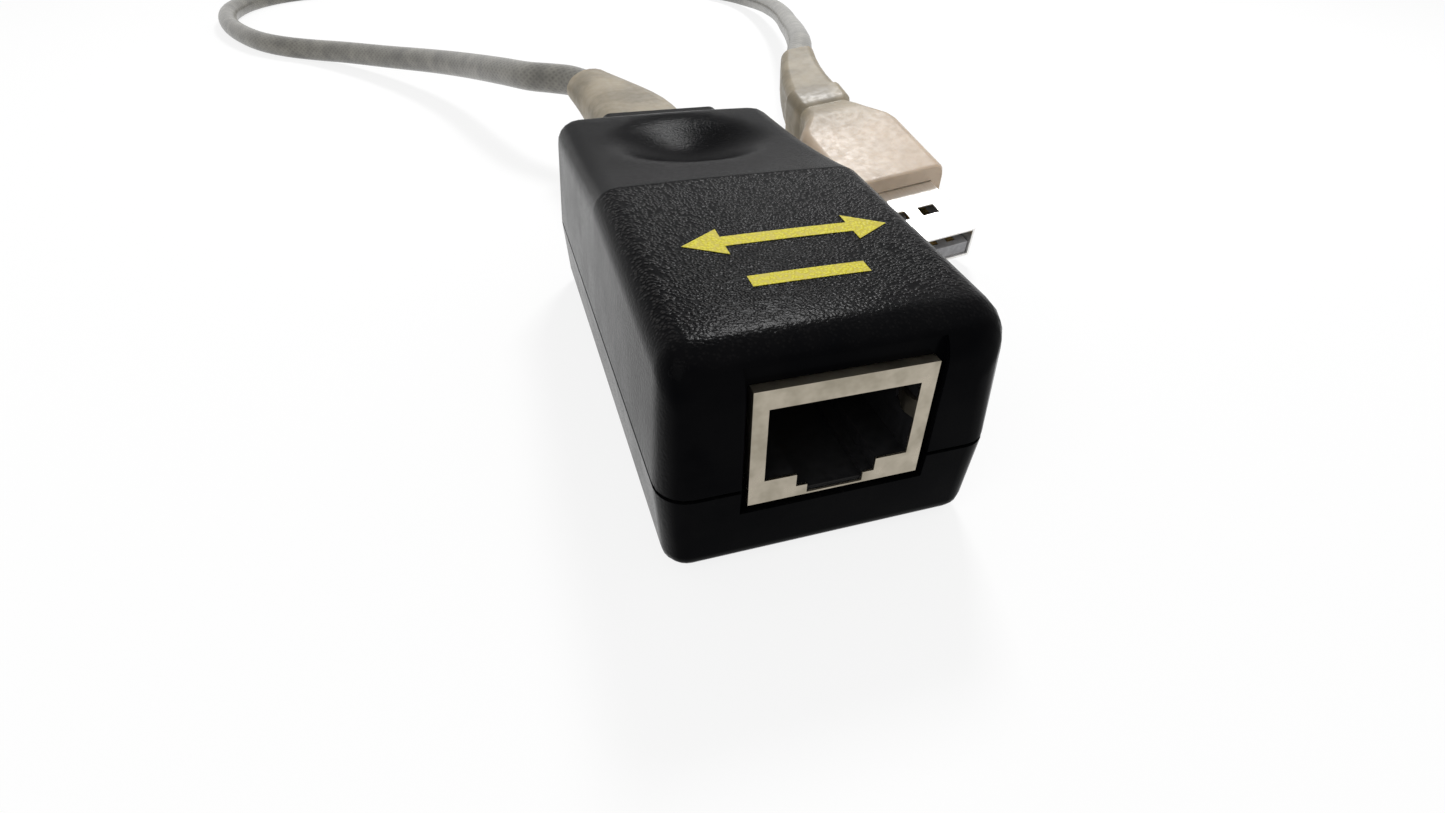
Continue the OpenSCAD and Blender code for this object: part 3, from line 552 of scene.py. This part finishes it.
wander = add(tree, "ShaderNodeTexNoise", Vector=place, Scale=push_scale,
             Detail=1.0).outputs["Color"]
pushed = maths(tree, "MULTIPLY_ADD", wander, (push, push, push), place,
               kind="ShaderNodeVectorMath")
distance, pebbles = pebble_cells(tree, pushed)
fine = between(tree, noise(tree, place, fine_scale), 0.3, 0.7)
fine_share = times(tree, not_front, maths(tree, "SUBTRACT", 1.0, coarse))
coarse_bump = bump(tree, times(tree, pebbles, coarse), pebble_depth)
fine_bump = bump(tree, times(tree, fine, fine_share), fine_depth, under=coarse_bump)

patches = noise(tree, place, 170, 3.0, 0.6)
tint = blend(tree, between(tree, patches, 0.3, 0.7), darkest, dark)
# Painted highlight: the pebble crowns take the paler colour as glints, in patches spread by a
# noise.
crowns = between(tree, distance, 0.1, 0.5, 1.0, 0.0)
glint_patches = between(tree, noise(tree, place, 1500, 2.0, 0.6), 0.3, 0.7, 0.45, 1.0)
glint_share = times(tree, times(tree, crowns, glint_patches), coarse)
side_shine = between(tree, maths(tree, "ABSOLUTE", facing["X"]), 0.5, 0.9, 0.0, 0.035)
roof_shine = between(tree, roof, 0.0, 1.0, 0.011, 0.024)
fill(tree, main, Base_Color=blend(tree, glint_share, tint, painted_glint), Normal=fine_bump,
     Roughness=between(tree, patches, 0.3, 0.7, 0.19, 0.24),
     Specular_IOR_Level=maths(tree, "ADD", side_shine, roof_shine))
use(black, upper, lower)
print("black plastic nodes", len(tree.nodes))

# %% [markdown]
# ## Yellow ink
#
# The ink is a flat lemon yellow that lies over the grain, thin enough for the bumps to show and to
# break up its colour a little. The same cells are used at the same scale and depth, though not
# pushed out of line, so the ink seems to sit on the roof.

# %% Yellow ink
thin_ink, full_ink = (0.50, 0.42, 0.012), (0.64, 0.57, 0.02)
ink, tree, main = finish("yellow_ink", roughness=0.45)
place = object_place(tree)
pebbles = pebble_cells(tree, place)[1]
covered = between(tree, times(tree, pebbles, noise(tree, place, 2600)), 0.02, 0.3)
fill(tree, main, Base_Color=blend(tree, covered, thin_ink, full_ink),
     Normal=bump(tree, pebbles, pebble_depth), Specular_IOR_Level=0.15)
use(ink, mark)
print("ink nodes", len(tree.nodes))

# %% [markdown]
# ## Metals
#
# The socket's frame is nickel-plated sheet with a warm grey, cloudy satin face. The plug's metal
# is brighter, with fine lengthwise scratches from being pushed in and pulled out. The contacts are
# gold-plated and a little worn, and the drain wire is tinned strands, which a wave draws. All are
# metals whose colour changes a little from place to place, most with their roughness; stretching
# the noise along one direction turns it into brush marks.

# %% Nickel, steel, gold and tin
nickel, tree, main = finish("nickel_sheet", metallic=1.0)
place = object_place(tree)
brushed = noise(tree, stretched(tree, place, (300.0, 300.0, 2600.0)), 1.0, 3.0, 0.6)
stained = noise(tree, place, 420, 3.0, 0.6)
fill(tree, main, Roughness=between(tree, stained, 0.3, 0.7, 0.26, 0.42),
     Base_Color=blend(tree, between(tree, stained, 0.3, 0.75),
                      (0.44, 0.395, 0.32), (0.30, 0.27, 0.21)),
     Normal=bump(tree, brushed, 0.004, 0.6))
use(nickel, shield)

steel, tree, main = finish("plug_steel", metallic=1.0)
place = object_place(tree)
turned = add(tree, "ShaderNodeMapping", Vector=place,
             Rotation=(0.0, 0.0, -plug_yaw)).outputs["Vector"]
lengthwise = stretched(tree, turned, (5200.0, 160.0, 900.0))
scratches = between(tree, noise(tree, lengthwise, 1.0, 2.0, 0.7), 0.35, 0.8)
fill(tree, main, Roughness=between(tree, scratches, 0.0, 1.0, 0.31, 0.345),
     Base_Color=blend(tree, scratches, (0.86, 0.85, 0.83), (0.77, 0.755, 0.73)),
     Normal=bump(tree, scratches, 0.0002, 0.5))
use(steel, metal_plug)

gold, tree, main = finish("gold_contact", metallic=1.0)
place = object_place(tree)
worn = between(tree, noise(tree, place, 900, 3.0, 0.6), 0.4, 0.7)
fill(tree, main, Roughness=between(tree, worn, 0.0, 1.0, 0.2, 0.36),
     Base_Color=blend(tree, worn, (0.88, 0.64, 0.27), (0.72, 0.56, 0.30)))
use(gold, "jack_contacts", "plug_contacts")

tin, tree, main = finish("tinned_strands", roughness=0.35, metallic=1.0)
place = object_place(tree)
strands = add(tree, "ShaderNodeTexWave", Vector=place, Scale=900.0, Distortion=2.0,
              Detail=2.0).outputs["Fac"]
fill(tree, main, Normal=bump(tree, strands, 0.03, 0.8),
     Base_Color=blend(tree, strands, (0.5, 0.48, 0.44), (0.78, 0.76, 0.72)))
use(tin, "drain_wire")
print("metal finishes", [look.name for look in (nickel, steel, gold, tin)])

# %% [markdown]
# ## Vinyl mouldings
#
# The boot and the plug's grip are one soft beige vinyl, slightly see-through, so light goes in and
# comes out again a little further on. Subsurface scattering does that. The head of the grip is
# painted paler and pinker than the rest, partly for a pale first moulding close under it and
# partly as painted light. The boot and the strain reliefs have no such backing and are painted
# darker, partly as painted shade, so two tints are blended by where a point lies. The
# moulding is cloudy inside and its surface is satin with shallow hollows, which noise at two
# scales gives.

# %% Beige vinyl
grip_starts_x = (12 * MM, 22 * MM)
head_ends_y = (48 * MM, 36 * MM)
vinyl, tree, main = finish("beige_vinyl")
place = object_place(tree)
small = noise(tree, place, 900, 3.0, 0.6)
cloudy = between(tree, noise(tree, place, 130, 4.0, 0.6), 0.34, 0.66)
# Painted light and shade: the boot and strain relief take the darker tint and the grip's head the
# paler one, partly for the moulding under the head and partly as painted light and shade.
bare_shaded_tint = blend(tree, cloudy, (0.175, 0.147, 0.10), (0.295, 0.25, 0.178))
backed_lit_tint = blend(tree, cloudy, (0.41, 0.32, 0.235), (0.52, 0.415, 0.315))
at = split(tree, place)
# The grip's head takes the paler tint, which is partly painted light.
on_head = times(tree, between(tree, at["X"], *grip_starts_x), between(tree, at["Y"], *head_ends_y))
hollows = bump(tree, noise(tree, place, 150, 1.0, 0.4), 0.3, 0.6)
fill(tree, main, Base_Color=blend(tree, on_head, bare_shaded_tint, backed_lit_tint),
     Roughness=between(tree, small, 0.3, 0.7, 0.38, 0.54), Specular_IOR_Level=0.3,
     Normal=bump(tree, small, 0.02, 0.6, hollows),
     Subsurface_Weight=0.3, Subsurface_Radius=(1.0, 0.75, 0.5), Subsurface_Scale=1.6 * MM,
     Coat_Weight=0.05, Coat_Roughness=0.25)
use(vinyl, boot, grip)
print("vinyl nodes", len(tree.nodes))

# %% [markdown]
# ## Braid under a clear jacket
#
# The cable's jacket is clear grey vinyl, and the tinned braid under it shows as a fine crossing
# pattern. Two sets of diagonal waves on the cable's own map make the strands, one set over the
# other, half hidden under a smudge. A glossy coat stands for the clear jacket, which costs far
# less than a real second tube of glass-like vinyl round the first.

# %% Cable jacket
strand_count, turns_per_metre = 16.0, 640.0
jacket, tree, main = finish("clear_jacket", roughness=0.45, metallic=0.25)
uv = add(tree, "ShaderNodeUVMap")
uv.uv_map = "along_and_round"
on_map = split(tree, uv.outputs["UV"])
along = times(tree, on_map["X"], turns_per_metre)
around = times(tree, on_map["Y"], strand_count)
crossing = []
for sign in ("ADD", "SUBTRACT"):
    phase = times(tree, maths(tree, sign, around, along), 2 * math.pi)
    crossing.append(maths(tree, "SINE", phase))
over = maths(tree, "MAXIMUM", *crossing)
smudge = noise(tree, object_place(tree), 260, 4.0, 0.6)
seen_through = maths(tree, "ADD", times(tree, over, 0.16), times(tree, smudge, 1.6))
weave = between(tree, seen_through, 0.35, 1.45)
relief = maths(tree, "ADD", times(tree, over, 0.3), smudge)
fill(tree, main, Base_Color=blend(tree, weave, (0.07, 0.066, 0.055), (0.20, 0.19, 0.16)),
     Normal=bump(tree, relief, 0.12, 0.5), Coat_Weight=0.4, Coat_Roughness=0.18)
use(jacket, cable)
print("jacket nodes", len(tree.nodes))

# %% [markdown]
# ## Inside the socket and the housing
#
# The socket's body is dull black plastic that swallows light. The board is green laminate with
# lighter tracks under its mask, the chips are fine-grained epoxy, and the capacitor is a drawn
# can. Little of this shows from outside, but the parts are finished as well, for anyone who opens
# the housing. The plainest ones differ only in two tints, so a loop makes them.

# %% Dark plastics
dull_black, tree, main = finish("socket_plastic")
place = object_place(tree)
dull = noise(tree, place, 1500, 3.0)
fill(tree, main, Roughness=between(tree, dull, 0.3, 0.7, 0.5, 0.66), Specular_IOR_Level=0.25,
     Base_Color=blend(tree, dull, (0.004, 0.004, 0.0045), (0.009, 0.009, 0.01)),
     Normal=bump(tree, dull, 0.008, 0.5))
use(dull_black, "jack_body", "jack_insert")

epoxy, tree, main = finish("chip_epoxy", roughness=0.5)
grit = noise(tree, object_place(tree), 5200)
fill(tree, main, Normal=bump(tree, grit, 0.01, 0.7),
     Base_Color=blend(tree, grit, (0.014, 0.014, 0.015), (0.032, 0.032, 0.034)))
use(epoxy, "driver_chip", "regulator", "chip_resistors")

ferrite, tree, main = finish("ferrite", roughness=0.6)
grit = noise(tree, object_place(tree), 3200, 3.0)
fill(tree, main, Normal=bump(tree, grit, 0.02, 0.7),
     Base_Color=blend(tree, grit, (0.035, 0.032, 0.031), (0.08, 0.073, 0.07)))
use(ferrite, "line_choke")
print("dark finishes", [look.name for look in (dull_black, epoxy, ferrite)])

# %% Board and parts
mask, tree, main = finish("solder_mask", roughness=0.3)
place = object_place(tree)
tracks = add(tree, "ShaderNodeTexBrick", Vector=place, Scale=1.0, Mortar_Size=0.25 * MM,
             Brick_Width=4.6 * MM, Row_Height=1.3 * MM).outputs["Fac"]
fibre = noise(tree, place, 1800)
laminate = blend(tree, fibre, (0.012, 0.12, 0.05), (0.02, 0.17, 0.075))
fill(tree, main, Base_Color=blend(tree, tracks, laminate, (0.05, 0.30, 0.12)),
     Normal=bump(tree, tracks, 0.03, 0.8))
use(mask, "circuit_board")

ceramic, tree, main = finish("fired_ceramic", roughness=0.45)
fired = noise(tree, object_place(tree), 1400, 3.0)
fill(tree, main, Base_Color=blend(tree, fired, (0.38, 0.27, 0.17), (0.52, 0.40, 0.28)))
use(ceramic, "ceramic_capacitors")

can, tree, main = finish("drawn_can", metallic=1.0)
drawn = noise(tree, stretched(tree, object_place(tree), (2600.0, 2600.0, 180.0)), 1.0)
fill(tree, main, Roughness=between(tree, drawn, 0.3, 0.7, 0.2, 0.36),
     Base_Color=blend(tree, drawn, (0.66, 0.66, 0.69), (0.80, 0.80, 0.82)))
use(can, "bulk_capacitor")

for name, low, high, piece in (
        ("red_insulation", (0.42, 0.02, 0.015), (0.58, 0.05, 0.03), "red_wire"),
        ("white_insulation", (0.72, 0.71, 0.67), (0.85, 0.84, 0.80), "white_wire"),
        ("green_insulation", (0.02, 0.22, 0.06), (0.05, 0.32, 0.10), "green_wire"),
        ("black_insulation", (0.01, 0.01, 0.011), (0.03, 0.03, 0.032), "black_wire"),
        ("inner_moulding", (0.60, 0.58, 0.51), (0.72, 0.70, 0.64), "plug_inner_mould"),
        ("tongue_plastic", (0.28, 0.28, 0.29), (0.40, 0.40, 0.41), "plug_insulator"),
        ("inner_jacket", (0.22, 0.21, 0.19), (0.34, 0.33, 0.30), "jacket_end")):
    plain, tree, main = finish(name)
    uneven = noise(tree, object_place(tree), 1100, 3.0, 0.6)
    fill(tree, main, Base_Color=blend(tree, between(tree, uneven, 0.3, 0.7), low, high),
         Roughness=between(tree, uneven, 0.3, 0.7, 0.34, 0.5),
         Normal=bump(tree, uneven, 0.01, 0.5))
    use(plain, piece)
print("finishes", len(bpy.data.materials))

# %% [markdown]

# %% [markdown]
# ## Table, background and lamps
#
# The photograph was cut out on white. The table is white paper that shows itself as plain white to
# the camera but still takes the object's soft shadow, and the world behind is white to the camera
# and in reflections and dimmer as a light. A small lamp behind and to the right draws the sheen on
# the roof's front roll and in the thumb dimple, and a large weak one in front and to the left
# fills the socket's side.

# %% Table and world
table_size = 3
plain_share = 0.84
world_as_light = 0.42


def seen_directly(tree):
    """1 for rays from the camera and for reflected or passed ones, 0 for rays that only light."""
    rays = tree.nodes.new("ShaderNodeLightPath").outputs
    return maths(tree, "MAXIMUM", rays["Is Camera Ray"],
                 maths(tree, "MAXIMUM", rays["Is Glossy Ray"], rays["Is Transmission Ray"]))


bpy.ops.mesh.primitive_plane_add(size=table_size, location=(0, 0.3, 0))
table = bpy.context.object
table.name = "table"
paper, tree, main = finish("white_paper", roughness=0.8)
fill(tree, main, Base_Color=(0.95, 0.95, 0.95, 1))
table.data.materials.append(paper)
glow = add(tree, "ShaderNodeEmission", Color=(1, 1, 1, 1), Strength=1.0)
mixed = tree.nodes.new("ShaderNodeMixShader")
for socket, value in zip(mixed.inputs, (times(tree, seen_directly(tree), plain_share),
                                        main.outputs[0], glow.outputs[0])):
    put(tree, socket, value)
put(tree, tree.nodes["Material Output"].inputs["Surface"], mixed.outputs[0])

world = bpy.data.worlds.new("studio")
bpy.context.scene.world = world
world.use_nodes = True
tree = world.node_tree
level = add(tree, "ShaderNodeMapRange", Value=seen_directly(tree), To_Min=world_as_light,
            To_Max=1.0)
fill(tree, tree.nodes["Background"], Color=(1, 1, 1, 1), Strength=level.outputs["Result"])
print("table", table_size, "m, world as a light", world_as_light)


# %% Lamps
def softbox(name, place, aim, size, power):
    """A square lamp that faces the point it lights."""
    bpy.ops.object.light_add(type="AREA", location=place)
    lamp = bpy.context.object
    lamp.name = name
    lamp.data.shape = "SQUARE"
    lamp.data.size = size
    lamp.data.energy = power
    lamp.rotation_euler = (Vector(aim) - Vector(place)).to_track_quat("-Z", "Y").to_euler()
    print(name, [round(v, 2) for v in place], power, "W")


softbox("key_lamp", place=(0.122, 0.262, 0.345), aim=(0, 0, 0), size=0.085, power=1.3)
softbox("fill_lamp", place=(-0.35, -0.25, 0.35), aim=(0, 0.02, 0), size=0.3, power=0.7)

bpy.context.scene.view_settings.view_transform = "Standard"
